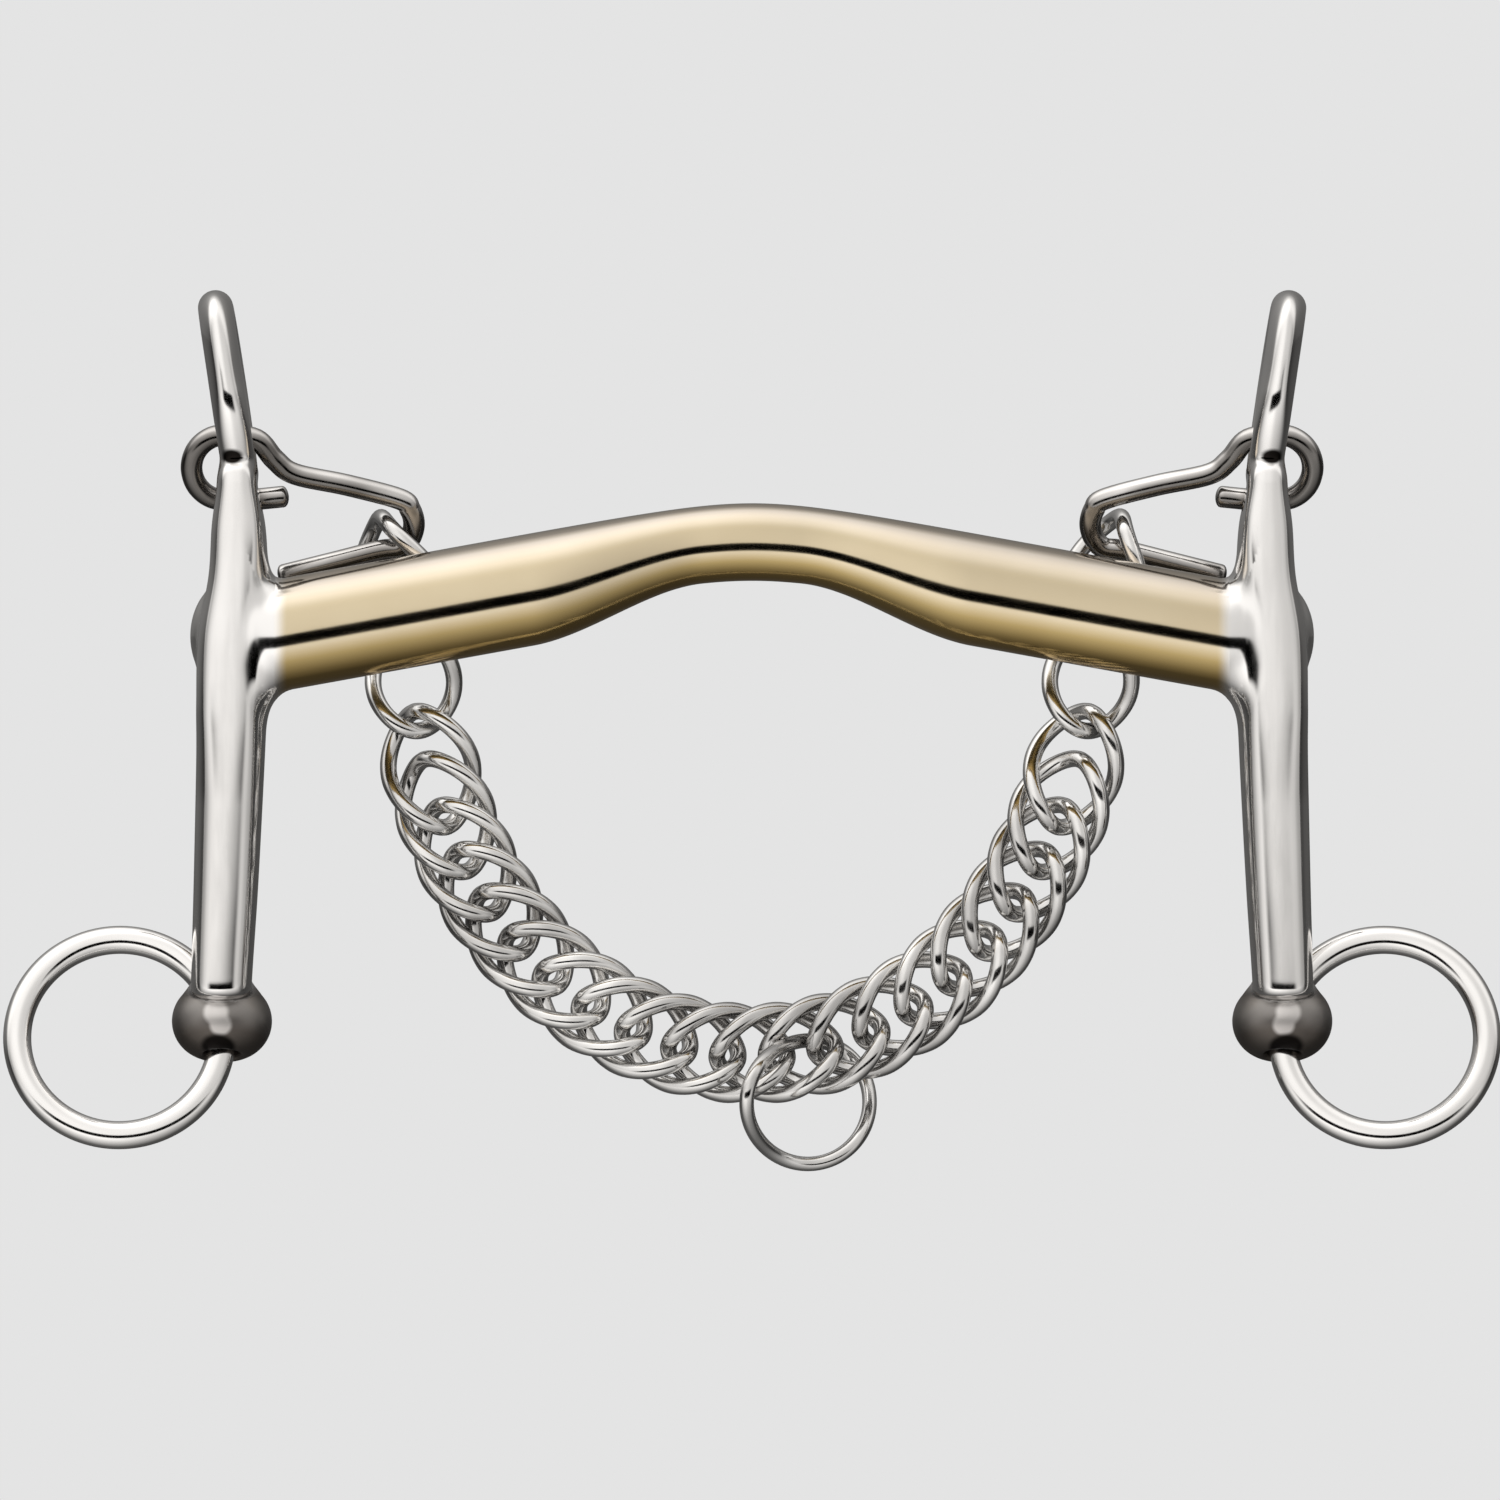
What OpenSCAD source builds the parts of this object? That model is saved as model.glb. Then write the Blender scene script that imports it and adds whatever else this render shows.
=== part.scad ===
// Curb bit with fixed cheeks, a raised port, loose rein rings, two curb hooks
// and a flat curb chain of twisted rings with a fly link.
// X runs along the mouthpiece, Z runs up the cheeks, +Y points to the back.
// The origin is the middle of the line between the two mouthpiece ends.

/* [Mouthpiece] */
// Clear width between the two cheeks
mouth_w = 135; // [115:1:155]
// Diameter of the mouthpiece at the cheeks
bar_d = 16; // [12:0.5:20]
// Diameter of the mouthpiece at the top of the port
port_d = 11; // [9:0.5:14]
// Height of the port's crown above the mouthpiece's ends, between centre lines
port_rise = 13.3; // [8:0.1:18]
// Rise of the straight side runs for each millimetre of length
side_slope = 0.2; // [0.12:0.01:0.24]
// Width of the thin stretch in the middle of the port
port_flat_w = 14; // [8:1:24]
// Width between the ends of the port's swelling
port_w = 62; // [44:1:80]
// Diameter of the spigot at each end of the mouthpiece
spigot_d = 8; // [6:0.5:9]
// Length of each spigot
spigot_l = 6; // [3:0.5:7.5]
// Radial clearance of the spigot in its socket
spigot_gap = 0.05; // [0.02:0.01:0.2]

/* [Cheeks] */
// Distance from the mouthpiece's end face to the outermost point of the boss
boss_w = 12.1; // [10:0.1:15]
// Diameter of the boss where the cheek crosses the mouthpiece
boss_d = 19; // [17:0.5:22]
// Outside diameter of the upper eye
eye_od = 28.5; // [26:0.5:34]
// Thickness of the upper eye's bar
eye_bar_d = 5; // [4:0.1:5.4]
// Reach of the upper eye's bar to the front of its middle, between centre lines
eye_fore = 6.5; // [5:0.1:12]
// Outward lean of the upper eye
eye_lean = 8.5; // [5:0.5:10]
// Height of the upper eye's centre above the mouthpiece's ends
eye_h = 34.9; // [33:0.1:42]
// Width of the upper cheek above the boss
stem_w = 8.6; // [7:0.1:10]
// Depth of the upper cheek above the boss
stem_t = 9.9; // [8:0.1:10.5]
// Distance of the cheek's front face from the mouthpiece's middle plane
cheek_front = 7.1; // [6:0.1:8]
// Width of the lower cheek below the boss
shank_w = 9.7; // [7:0.1:11]
// Width of the lower cheek at its end
shank_end_w = 8.6; // [6:0.1:10]
// Depth of the lower cheek below the boss
shank_t = 10.4; // [8:0.1:11]
// Depth of the lower cheek at its end
shank_end_t = 9.7; // [8:0.1:10]
// Drop from the mouthpiece's ends to the centre of the rein eye
rein_eye_drop = 54.6; // [46:0.1:75]
// Outward flare of the lower cheek over its length
shank_flare = 1.6; // [0:0.1:4]
// Diameter of the bead that holds the rein ring
rein_bead_d = 14.2; // [13:0.1:17]
// Height of that bead along its hole
rein_bead_h = 10.6; // [9:0.1:12]

/* [Rein rings] */
// Outside diameter of a rein ring
rein_ring_od = 33; // [30:0.5:50]
// Thickness of a rein ring's wire
rein_wire_d = 4; // [3:0.1:4.4]
// Backward lean of a rein ring in its eye
rein_lean = 18; // [15:1:30]
// Distance of the rein eye behind the cheek's middle plane
rein_eye_back = 2.7; // [2.4:0.1:4]
// Drop of the rein ring's middle below its eye's centre, along the hole
rein_ring_drop = 2.4; // [0:0.1:2.6]
// Clearance round the rein ring in its eye
rein_gap = 0.35; // [0.3:0.05:0.8]

/* [Curb hooks] */
// Thickness of a curb hook's wire
hook_wire_d = 3.1; // [2.8:0.1:3.4]
// Inside width of the open loop that hangs on the upper eye
hook_loop_d = 6; // [5.9:0.1:6.8]
// Angle of the hook behind the vertical, seen from the side
hook_lean = 25; // [24:1:34]
// Inside diameter of the hook's bend
hook_bend_d = 4.9; // [4.8:0.1:5.4]
// Length of the hook's open return leg
hook_return_l = 14; // [8:0.5:15]
// Downward slope of the return leg
hook_return_slope = 14; // [10:1:20]

/* [Curb chain] */
// Outside length of one chain ring
link_l = 19.2; // [19:0.1:22]
// Outside width of one chain ring
link_w = 14.2; // [13.4:0.1:15]
// Thickness of the chain's wire
link_wire_d = 2.2; // [1.8:0.1:2.3]
// Twist of each end of a ring out of its flat
link_twist = 48; // [42:1:56]
// Rings in the close-linked band, with its two end rings, an even number
band_rings = 20; // [16:2:24]
// Distance from ring to ring along the band
band_pitch = 6.9; // [6.6:0.05:7.2]
// Distance from a cheek inwards to the curve in which the chain hangs
chain_inset = 19.3; // [17:0.1:22]
// Drop of the chain's lowest ring below the mouthpiece's ends
chain_drop = 59.3; // [54:0.1:66]
// Distance of the hanging chain behind the mouthpiece's middle plane
chain_back = 13.2; // [13:0.1:16]
// Clearance between two single links where they pull on each other
link_gap = 0.6; // [0.5:0.05:0.8]
// Thickness of the fly link's wire
fly_wire_d = 2; // [1.8:0.1:2.1]
// Outside diameter of the fly link, seen from the front
fly_od = 19.6; // [19.2:0.1:19.8]

/* [Hidden] */
$fn = 64;

gold = "#cdb98e";
steel = "#c9c7c4";
chain_steel = "#b9b8b6";

// Derived places of the cheeks
cheek_x = mouth_w / 2 + boss_w / 2;
eye_r = (eye_od - eye_bar_d) / 2;
stem_in = 0.9;
eye_out = -1.05;
stem_x = cheek_x - stem_in;
eye_x = cheek_x + eye_r * tan(eye_lean) + eye_out;
rein_x = cheek_x + shank_flare;
rein_ring_r = (rein_ring_od - rein_wire_d) / 2;

// Derived sizes of the chain
link_half_l = (link_l - link_wire_d) / 2;
link_half_w = (link_w - link_wire_d) / 2;
link_reach = link_half_l - (link_wire_d + link_gap) / 2;
link_count = band_rings + 4;
chain_half_w = mouth_w / 2 - chain_inset;

function link_name(i) = str("chain_link_", i < 10 ? "0" : "", i);
function unit(v) = v / norm(v);
function smooth(u) = let (c = min(max(u, 0), 1)) c * c * (3 - 2 * c);
function mirror_x(p) = [-p[0], p[1], p[2]];

// Faces of a tube whose rings of points follow each other, m points a ring
function side_faces(n, m, closed) =
    [for (i = [0 : closed ? n - 1 : n - 2], j = [0 : m - 1])
        let (a = i * m + j, b = i * m + (j + 1) % m, k = ((i + 1) % n) * m)
        each [[a, k + j, b], [b, k + j, k + (j + 1) % m]]];
function cap_faces(n, m) =
    concat([for (j = [1 : m - 2]) [0, j, j + 1]],
           [for (j = [1 : m - 2]) let (k = (n - 1) * m) [k, k + j + 1, k + j]]);

// A round tube along a path, with one chosen normal at each point
module tube(path, normals, d, sides, closed) {
    n = len(path);
    points = [for (i = [0 : n - 1])
        let (p = path[i],
             q = path[closed ? (i + 1) % n : min(i + 1, n - 1)],
             o = path[closed ? (i + n - 1) % n : max(i - 1, 0)],
             t = unit(q - o),
             b = unit(cross(t, normals[i])),
             c = cross(b, t))
        for (j = [0 : sides - 1])
            let (a = 360 * j / sides) p + d / 2 * (cos(a) * c + sin(a) * b)];
    polyhedron(points, concat(side_faces(n, sides, closed),
                              closed ? [] : cap_faces(n, sides)), convexity = 6);
}

// Mouthpiece: height of its middle and its diameter at a distance from the centre
crown_round = 2.3;
function side_fall(x) = sqrt(pow(side_slope * x, 2) + pow(crown_round, 2)) - crown_round;
function bar_size(x) =
    port_d + (bar_d - port_d) * smooth((abs(x) - port_flat_w / 2) / (port_w - port_flat_w) * 2);
crown_top = port_rise + port_d / 2;
end_top = crown_top - side_fall(mouth_w / 2);
end_shift = bar_d / 2 - end_top;
function bar_mid(x) = crown_top - side_fall(x) - bar_size(x) / 2
    + end_shift * pow(x / (mouth_w / 2), 2);

// Length of a spigot inside the bar, and room at the end of its socket
spigot_root = 1;
socket_gap = 0.3;
module mouthpiece() {
    sides = 32;
    steps = 44;
    rings = [for (i = [0 : steps])
        let (x = -mouth_w / 2 + mouth_w * i / steps)
        for (j = [0 : sides - 1])
            let (a = 360 * j / sides, r = bar_size(x) / 2)
            [x, r * cos(a), bar_mid(x) + r * sin(a)]];
    color(gold) {
        polyhedron(rings, concat(side_faces(steps + 1, sides, false),
                                 cap_faces(steps + 1, sides)), convexity = 4);
        for (s = [-1, 1])
            translate([s * (mouth_w / 2 - spigot_root), 0, 0])
                rotate([0, 90 * s, 0]) cylinder(d = spigot_d, h = spigot_l + spigot_root);
    }
}

// Cheek: stations of the stem and shank as height, place, width, depth and reach to the
// front. The small values round its outline from one station to the next.
eye_foot = eye_h - eye_r * cos(eye_lean);
shank_end = rein_bead_h / 2 - rein_eye_drop;
neck_t = 1.85 * eye_bar_d;
neck_step = 0.3;
neck_reach = 1.8;
neck_swell = 0.8;
stem_run = 6;
stem_rake = 0.03;
root_swell = 0.6;
boss_swell = 1;
shank_run = 8;
shank_knee = 0.72;
tongue_l = 3.9;
tongue_up = 1.5;
crown_l = 4.4;
section_power = 0.37;
end_steps = [0.5, 0.8, 0.95];
function stem_front(z) = cheek_front - stem_rake * max(z - stem_run, 0);
function stem_station(z, x, w, t) = [z, x, w, t, stem_front(z)];
function shank_station(z, x, w, t) = [z, x, w, t, cheek_front];
function rounded_end(base, l) = [for (u = end_steps)
    let (k = pow(1 - pow(u, 1 / section_power), section_power))
    [base[0] + l * u, base[1], k * base[2], k * base[3], base[4] - (1 - k) * base[3] / 2]];
stem_top = stem_station(eye_foot - neck_reach, stem_x + neck_step, eye_bar_d + neck_swell, neck_t);
shank_tip = shank_station(shank_end + tongue_up, rein_x, shank_end_w, shank_end_t);
crown = rounded_end(stem_top, crown_l);
cheek_stations = concat([for (i = [len(crown) - 1 : -1 : 0]) crown[i]], [
    stem_top,
    stem_station(boss_d / 2 + stem_run, stem_x, stem_w, (stem_t + neck_t) / 2),
    stem_station(boss_d / 2, stem_x + neck_step, stem_w + root_swell, stem_t),
    shank_station(0, cheek_x + neck_step, shank_w + boss_swell, shank_t + boss_swell),
    shank_station(-boss_d / 2, cheek_x + neck_step / 2, shank_w + neck_step, shank_t + neck_step),
    shank_station(-boss_d / 2 - shank_run, cheek_x + neck_step, shank_w, shank_t),
    shank_station(shank_end * shank_knee, cheek_x + shank_flare * root_swell,
                  (shank_w + shank_end_w) / 2, (shank_t + shank_end_t) / 2),
    shank_tip], rounded_end(shank_tip, -tongue_l));

// A curve through the stations, with the steps between two of them
function through(a, i, u) =
    let (n = len(a) - 1, p = a[max(i - 1, 0)], q = a[i], r = a[i + 1], s = a[min(i + 2, n)])
    q + 0.5 * u * (r - p + u * (2 * p - 5 * q + 4 * r - s + u * (3 * (q - r) + s - p)));

module cheek_body() {
    sides = 24;
    steps = 3;
    squareness = 0.75;
    last = len(cheek_stations) - 1;
    levels = concat([for (i = [0 : last - 1], u = [0 : steps - 1]) through(cheek_stations, i, u / steps)],
                    [cheek_stations[last]]);
    rings = [for (k = levels, j = [0 : sides - 1])
        let (a = 360 * j / sides, c = cos(a), s = sin(a))
        [k[1] + k[2] / 2 * sign(c) * pow(abs(c), squareness),
         k[3] / 2 * (1 - sign(s) * pow(abs(s), squareness)) - k[4], k[0]]];
    polyhedron(rings, concat(side_faces(len(levels), sides, false),
                             cap_faces(len(levels), sides)), convexity = 4);
}

// Boss round the mouthpiece's end: a flare no deeper than the cheek and a domed outer face
flare_w = 3.4;
dome_h = 14.4;
dome_t = 10.8;
module cheek_boss() {
    skin = 0.1;
    deep = 2 * cheek_front / boss_d;
    translate([mouth_w / 2, 0, 0]) rotate([0, 90, 0]) hull() {
        cylinder(d = bar_d, h = skin);
        translate([0, 0, flare_w]) scale([1, deep, 1]) cylinder(d = boss_d, h = skin);
        translate([0, 0, boss_w / 2]) scale([1, deep, 1]) cylinder(d = boss_d - flare_w, h = skin);
    }
    translate([cheek_x, 0, 0]) scale([boss_w / 2, dome_t / 2, dome_h / 2]) sphere(r = 1);
}

// Upper eye: round at the back, where the hook hangs, and flatter to the front
module upper_eye() {
    stations = 48;
    up = [sin(eye_lean), 0, cos(eye_lean)];
    angles = [for (k = [0 : stations - 1]) 360 * k / stations];
    reach = [for (t = angles) cos(t) < 0 ? eye_fore : eye_r];
    path = [for (k = [0 : stations - 1]) [eye_x, 0, eye_h] + reach[k] * cos(angles[k]) * [0, 1, 0]
        + eye_r * sin(angles[k]) * up];
    normals = [for (k = [0 : stations - 1]) eye_r * cos(angles[k]) * [0, 1, 0]
        + reach[k] * sin(angles[k]) * up];
    tube(path, normals, eye_bar_d, 24, true);
}

module at_rein_eye() {
    translate([rein_x, rein_eye_back, -rein_eye_drop]) rotate([-rein_lean, 0, 0]) children();
}

// Space that a leaning rein ring needs as it swings round in its eye
module rein_eye_cut() {
    cut_share = 0.62;
    half_h = rein_ring_r * cut_share;
    at_rein_eye() translate([0, 0, -rein_ring_drop]) rotate_extrude() difference() {
        translate([0, -half_h]) square([rein_ring_r, 2 * half_h]);
        translate([rein_ring_r, 0]) circle(r = rein_ring_r - rein_wire_d / 2 - rein_gap);
    }
}

// Bead at the end of the lower cheek, round the leaning hole
module rein_bead() {
    round_r = rein_bead_h / 2;
    core_r = rein_bead_d / 2 - round_r;
    at_rein_eye() rotate_extrude() {
        translate([0, -round_r]) square([core_r, rein_bead_h]);
        intersection() {
            translate([core_r, 0]) circle(r = round_r);
            translate([0, -round_r]) square([rein_bead_d / 2, rein_bead_h]);
        }
    }
}

module cheek() {
    difference() {
        union() {
            upper_eye();
            cheek_body();
            cheek_boss();
            rein_bead();
        }
        rein_eye_cut();
        translate([mouth_w / 2 - spigot_root, 0, 0]) rotate([0, 90, 0])
            cylinder(d = spigot_d + 2 * spigot_gap, h = spigot_l + spigot_root + socket_gap);
    }
}

module right_cheek() { color(steel) cheek(); }
module left_cheek() { color(steel) mirror([1, 0, 0]) cheek(); }

// Rein ring, standing out to the side of its eye
module rein_ring() {
    at_rein_eye() translate([rein_ring_r, 0, -rein_ring_drop]) rotate([90, 0, 0])
        rotate_extrude() translate([rein_ring_r, 0]) circle(d = rein_wire_d, $fn = 40);
}
module right_rein_ring() { color(steel) rein_ring(); }
module left_rein_ring() { color(steel) mirror([1, 0, 0]) rein_ring(); }

// Chain curve: half an ellipse, stepped by equal lengths from its lowest point
function curve_at(a) = [chain_half_w * sin(a), chain_back, -chain_drop * cos(a)];
function curve_speed(a) =
    sqrt(pow(chain_half_w * cos(a), 2) + pow(chain_drop * sin(a), 2)) * PI / 180;
function step_angle(a, l) = a + l / curve_speed(a + l / curve_speed(a) / 2);
function ring_angle(k) =
    k < 0 ? -ring_angle(-k) :
    k < 1 ? step_angle(0, band_pitch / 2) : step_angle(ring_angle(k - 1), band_pitch);
function curve_dir(a) = unit([chain_half_w * cos(a), 0, chain_drop * sin(a)]);

// End of the band on the right, and the two single links above it. The first link
// leans to where the hook's bend is, seat_back behind the plane of the hook.
first_side = 0.227;
first_rise = 0.945;
seat_back = 1.09;
first_reach = link_reach + link_half_l;
band_end = ring_angle((band_rings - 1) / 2);
second_dir = unit([0.1, 0, 1]);
band_joint = curve_at(band_end) + link_reach * curve_dir(band_end);
second_joint = band_joint + 2 * link_reach * second_dir;
seat_y = seat_back + (eye_h - second_joint[2] - first_rise * first_reach) * tan(hook_lean);
first_dir = unit([first_side, (seat_y - second_joint[1]) / first_reach, first_rise]);
hook_seat = second_joint + first_reach * first_dir;

function band_angle(i) = ring_angle(i - 2 - (band_rings + 1) / 2);

// Middle of a link and its direction from left to right, for links 1 to link_count
function right_middle(i) =
    i == link_count ? second_joint + link_reach * first_dir :
    i == link_count - 1 ? band_joint + link_reach * second_dir :
    curve_at(band_angle(i));
function right_dir(i) =
    i == link_count ? first_dir : i == link_count - 1 ? second_dir :
    curve_dir(band_angle(i));
function link_middle(i) = i > 2 ? right_middle(i) : mirror_x(right_middle(link_count + 1 - i));
function link_dir(i) =
    i > 2 ? right_dir(i) :
    let (d = right_dir(link_count + 1 - i)) [d[0], -d[1], -d[2]];

// Turn of a single link about its own length
first_turn = 30;
second_turn = 20;
function link_turn(i) =
    i == 1 ? first_turn : i == 2 ? second_turn :
    i == link_count - 1 ? -second_turn : i == link_count ? -first_turn : 0;

// One oval ring, whose ends are twisted opposite ways out of the flat
module chain_link(i) {
    stations = 32;
    u = link_dir(i);
    v = unit(cross([0, -1, 0], u));
    w = cross(u, v);
    angles = [for (k = [0 : stations - 1]) 360 * k / stations];
    spokes = [for (t = angles)
        let (f = link_turn(i) - link_twist * cos(t)) cos(f) * v + sin(f) * w];
    path = [for (k = [0 : stations - 1])
        link_middle(i) + link_half_l * cos(angles[k]) * u + link_half_w * sin(angles[k]) * spokes[k]];
    normals = [for (k = [0 : stations - 1])
        link_half_w * cos(angles[k]) * u + link_half_l * sin(angles[k]) * spokes[k]];
    color(chain_steel) tube(path, normals, link_wire_d, 8, true);
}

// Fly link, through two rings just right of the middle. It is round from the front,
// slants backwards from left to right and is bent once more across that slant.
fly_place = [7.97, chain_back - 1.81, -chain_drop - 6.92];
fly_slant = [8.73, 1.98];
fly_bend = [-2.11, 2.94];
module fly_link() {
    stations = 48;
    fly_r = (fly_od - fly_wire_d) / 2;
    angles = [for (k = [0 : stations - 1]) -360 * k / stations];
    spokes = [for (t = angles) [cos(t), 0, sin(t)]];
    path = [for (k = [0 : stations - 1])
        let (t = angles[k], depth = fly_slant * [cos(t), sin(t)] + fly_bend * [cos(2 * t), sin(2 * t)])
        fly_place + fly_r * spokes[k] + [0, depth, 0]];
    color(chain_steel) tube(path, spokes, fly_wire_d, 10, true);
}

// Curb hook on the right, drawn in the plane through the upper eye's axis.
// The tail and leg points count in loop radii from the loop's middle, downwards.
tail_shape = [[-1.84, 0.9], [-0.87, 0.99]];
leg_shape = [[-1.02, -0.88], [-1.6, -0.25], [-2.23, 0.2]];
knee_rise = 0.2;
loop_out = 2.3;
loop_down = 0.35;
seat_in = 0.5;
seat_down = 0.83;
function hook_plane(p) = [p[0], p[1] * tan(hook_lean), eye_h - p[1]];
module hook() {
    steps = 2;
    loop_r = (hook_loop_d + hook_wire_d) / 2;
    bend_r = (hook_bend_d + hook_wire_d) / 2;
    bar_drop = eye_r * cos(hook_lean);
    loop_x = eye_x - bar_drop * tan(eye_lean) + loop_out;
    bend_x = hook_seat[0] - seat_in;
    bend_drop = eye_h - hook_seat[2] + seat_down;
    loop_mid = [loop_x, bar_drop + loop_down];
    bend_mid = [bend_x, bend_drop];
    bend = [for (a = [-120 : -30 : -240]) bend_mid + bend_r * [cos(a), sin(a)]];
    knee = loop_mid + loop_r * leg_shape[len(leg_shape) - 1];
    flat = concat(
        [for (p = tail_shape) loop_mid + loop_r * p],
        [for (a = [90 : -30 : -90]) loop_mid + loop_r * [cos(a), sin(a)]],
        [for (p = leg_shape) loop_mid + loop_r * p],
        [(knee + bend[0]) / 2 - [0, knee_rise]],
        bend,
        [for (l = [0 : 2]) let (c = cos(hook_return_slope), t = sin(hook_return_slope))
            bend_mid + bend_r * [t, c] + hook_return_l * l / 2 * [c, t]]);
    last = len(flat) - 1;
    curve = concat([for (i = [0 : last - 1], u = [0 : steps - 1]) through(flat, i, u / steps)],
                   [flat[last]]);
    path = [for (p = curve) hook_plane(p)];
    normals = [for (p = curve) [0, cos(hook_lean), sin(hook_lean)]];
    tube(path, normals, hook_wire_d, 12, false);
}
module right_curb_hook() { color(steel) hook(); }
module left_curb_hook() { color(steel) mirror([1, 0, 0]) hook(); }

mouthpiece();
left_cheek();
right_cheek();
left_rein_ring();
right_rein_ring();
left_curb_hook();
right_curb_hook();
fly_link();
for (i = [1 : link_count])
    chain_link(i);
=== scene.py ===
import math

import bpy
import numpy as np
import openvdb
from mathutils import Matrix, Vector


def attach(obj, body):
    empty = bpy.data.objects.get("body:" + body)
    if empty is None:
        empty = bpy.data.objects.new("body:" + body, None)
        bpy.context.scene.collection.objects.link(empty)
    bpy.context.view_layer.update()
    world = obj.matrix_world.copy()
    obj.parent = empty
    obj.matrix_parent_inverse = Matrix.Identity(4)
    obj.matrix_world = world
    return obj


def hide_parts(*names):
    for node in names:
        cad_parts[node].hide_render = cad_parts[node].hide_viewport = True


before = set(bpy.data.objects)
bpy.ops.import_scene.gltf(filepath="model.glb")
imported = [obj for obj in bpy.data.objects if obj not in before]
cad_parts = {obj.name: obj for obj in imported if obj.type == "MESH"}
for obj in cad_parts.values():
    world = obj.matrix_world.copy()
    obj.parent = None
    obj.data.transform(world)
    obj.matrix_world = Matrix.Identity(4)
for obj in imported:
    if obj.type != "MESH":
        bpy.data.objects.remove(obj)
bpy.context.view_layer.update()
mm = 0.001
# floors for what is divided by or raised to a power
tiny, small = 1e-9, 1e-6
scene = bpy.context.scene
scene.view_settings.view_transform = "Standard"
print("stage: frame loaded,", len(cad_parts), "nodes")


# Small helpers: all shapes are worked out in millimetres

def unit(v):
    return v / np.maximum(np.linalg.norm(v, axis=-1, keepdims=True), tiny)


def smoothStep(u):
    c = np.clip(u, 0, 1)
    return c * c * (3 - 2 * c)


def throughPoints(points, steps):
    # smooth curve through the points, with the same number of steps from each to the next
    a = np.asarray(points, float)
    last = len(a) - 1
    found = []
    for i in range(last):
        p, q, r, s = a[max(i - 1, 0)], a[i], a[i + 1], a[min(i + 2, last)]
        for k in range(steps):
            u = k / steps
            bend = 2 * p - 5 * q + 4 * r - s + u * (3 * (q - r) + s - p)
            found.append(q + 0.5 * u * (r - p + u * bend))
    found.append(a[last])
    return np.array(found)


def makeObject(name, points, faces, normals=None):
    mesh = bpy.data.meshes.new(name)
    mesh.from_pydata((np.asarray(points) * mm).tolist(), [], [list(map(int, f)) for f in faces])
    mesh.shade_smooth()
    if normals is not None:
        mesh.normals_split_custom_set_from_vertices(np.asarray(normals).tolist())
    obj = bpy.data.objects.new(name, mesh)
    scene.collection.objects.link(obj)
    return obj


def tubeFaces(rings, sides, closed):
    # skin round the rings, facing outwards; an open tube is closed by a face at each end
    faces = []
    for i in range(rings if closed else rings - 1):
        here, there = i * sides, (i + 1) % rings * sides
        for j in range(sides):
            k = (j + 1) % sides
            faces.append((here + j, here + k, there + k, there + j))
    if not closed:
        faces.append(tuple(reversed(range(sides))))
        faces.append(tuple(range((rings - 1) * sides, rings * sides)))
    return faces


wireEnd = {"degrees": (18, 36, 54, 70, 84), "length": 0.55}


def tube(name, path, hints, radius, sides, closed):
    # round wire along a path, its rings turned by the hints; an open wire gets rounded ends
    path, hints = np.asarray(path, float), np.asarray(hints, float)
    radii = np.full(len(path), float(radius))
    if closed:
        along = unit(np.roll(path, -1, 0) - np.roll(path, 1, 0))
    else:
        along = unit(np.gradient(path, axis=0))
        steps = np.radians(wireEnd["degrees"])
        further = np.sin(steps)[:, None] * radius * wireEnd["length"]
        narrow = np.cos(steps) * radius
        path = np.vstack([(path[0] - further * along[0])[::-1], path, path[-1] + further * along[-1]])
        radii = np.concatenate([narrow[::-1], radii, narrow])
        along, hints = (np.pad(a, ((len(steps), len(steps)), (0, 0)), "edge") for a in (along, hints))
    side = unit(np.cross(along, hints))
    out = np.cross(side, along)
    t = np.linspace(0, 2 * math.pi, sides, endpoint=False)
    ring = np.cos(t)[None, :, None] * out[:, None] + np.sin(t)[None, :, None] * side[:, None]
    points = path[:, None] + radii[:, None, None] * ring
    return makeObject(name, points.reshape(-1, 3), tubeFaces(len(path), sides, closed))


def mirrored(name, obj):
    # the same piece on the other side, still facing outwards
    points = np.array([v.co for v in obj.data.vertices]) / mm
    faces = [tuple(reversed(p.vertices)) for p in obj.data.polygons]
    normals = np.array([n.vector for n in obj.data.vertex_normals])
    flip = np.array([-1, 1, 1])
    return makeObject(name, points * flip, faces, normals * flip)


def fit(obj, body, node, material):
    obj.data.materials.append(material)
    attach(obj, body)
    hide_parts(node)


# Materials

def newMaterial(name):
    material = bpy.data.materials.new(name)
    material.use_nodes = True
    nodes = material.node_tree.nodes
    return material, nodes, material.node_tree.links, nodes["Principled BSDF"]


def ramp(nodes, stops):
    node = nodes.new("ShaderNodeValToRGB")
    elements = node.color_ramp.elements
    while len(elements) > 1:
        elements.remove(elements[-1])
    for i, (at, colour) in enumerate(stops):
        element = elements[0] if i == 0 else elements.new(at)
        element.position = at
        element.color = (*colour, 1) if isinstance(colour, (tuple, list)) else (colour, colour, colour, 1)
    return node


def noise(nodes, links, place, scale, detail, stretch=(1, 1, 1)):
    mapping = nodes.new("ShaderNodeMapping")
    mapping.inputs["Scale"].default_value = stretch
    links.new(place.outputs["Object"], mapping.inputs["Vector"])
    texture = nodes.new("ShaderNodeTexNoise")
    texture.inputs["Scale"].default_value = scale
    texture.inputs["Detail"].default_value = detail
    links.new(mapping.outputs["Vector"], texture.inputs["Vector"])
    return texture


metalNoise = {"patchScale": 60, "patchDetail": 3, "patchSpan": (0.35, 0.65),
              "wearScale": 900, "wearDetail": 4, "wearSpan": (0.3, 0.7), "scratchDepth": 0.02 * mm}


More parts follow.
